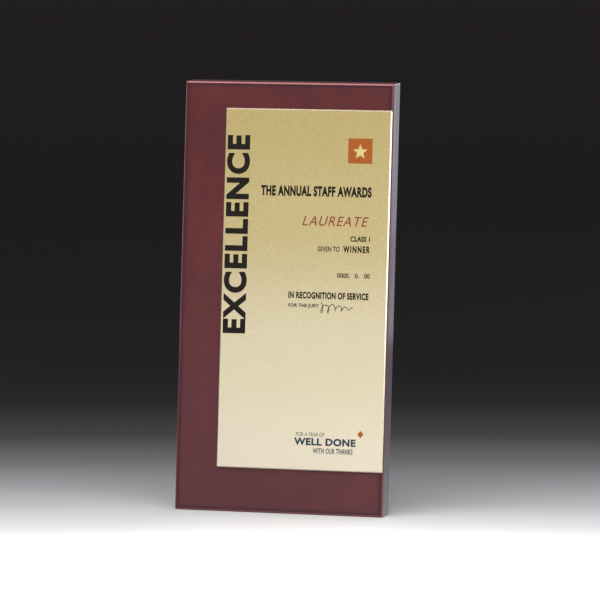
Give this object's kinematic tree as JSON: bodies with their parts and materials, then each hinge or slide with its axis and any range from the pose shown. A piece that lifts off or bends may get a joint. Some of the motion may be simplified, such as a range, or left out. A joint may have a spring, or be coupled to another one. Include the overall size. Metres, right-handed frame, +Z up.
{
  "type": "wooden plaque",
  "caption": "Lacquered wooden award plaque that leans back on a fold-out wing, with a sand-blasted gold plate on its front and a keyhole hanger behind.",
  "frame": {"origin": "on the table, under the middle of the bounding box of the plaque standing on its base and its opened wing", "axes": "+Z up, +X to the right as seen from the front, -Y towards the viewer; the board leans back 6 degrees towards +Y, and its base and top are cut level"},
  "size_m": [0.15, 0.06, 0.2984],
  "materials": {
    "lacquered_wood": "red mahogany stain under a clear gloss lacquer",
    "gold_plate": "sand-blasted satin gold with polished bevelled edges",
    "tape": "double-sided mounting tape",
    "felt": "black pressed felt",
    "zinc_steel": "bright zinc plated",
    "hinge_brass": "satin brass",
    "soft_rubber": "soft black rubber"
  },
  "bodies": {
    "plaque": {"board": "lacquered_wood", "award_plate": "gold_plate", "plate_tape": "tape", "back_felt": "felt", "keyhole_hanger": "zinc_steel", "hanger_screws": "zinc_steel", "hinge_leaf_board": "hinge_brass", "hinge_screws_board": "hinge_brass", "hinge_pin": "hinge_brass", "wall_bumper_1": "soft_rubber", "wall_bumper_2": "soft_rubber", "wall_bumper_3": "soft_rubber", "wall_bumper_4": "soft_rubber"},
    "wing": {"prop_wing": "lacquered_wood", "hinge_leaf_wing": "hinge_brass", "hinge_screws_wing": "hinge_brass", "wing_foot": "soft_rubber"}
  },
  "joints": [
    {"name": "wing_hinge", "type": "hinge", "parent": "plaque", "child": "wing", "pos_m": [0.0049, -0.00955, 0.10341], "axis": [0, 0.1045, 0.9945], "range_deg": [0, 90]}
  ]
}
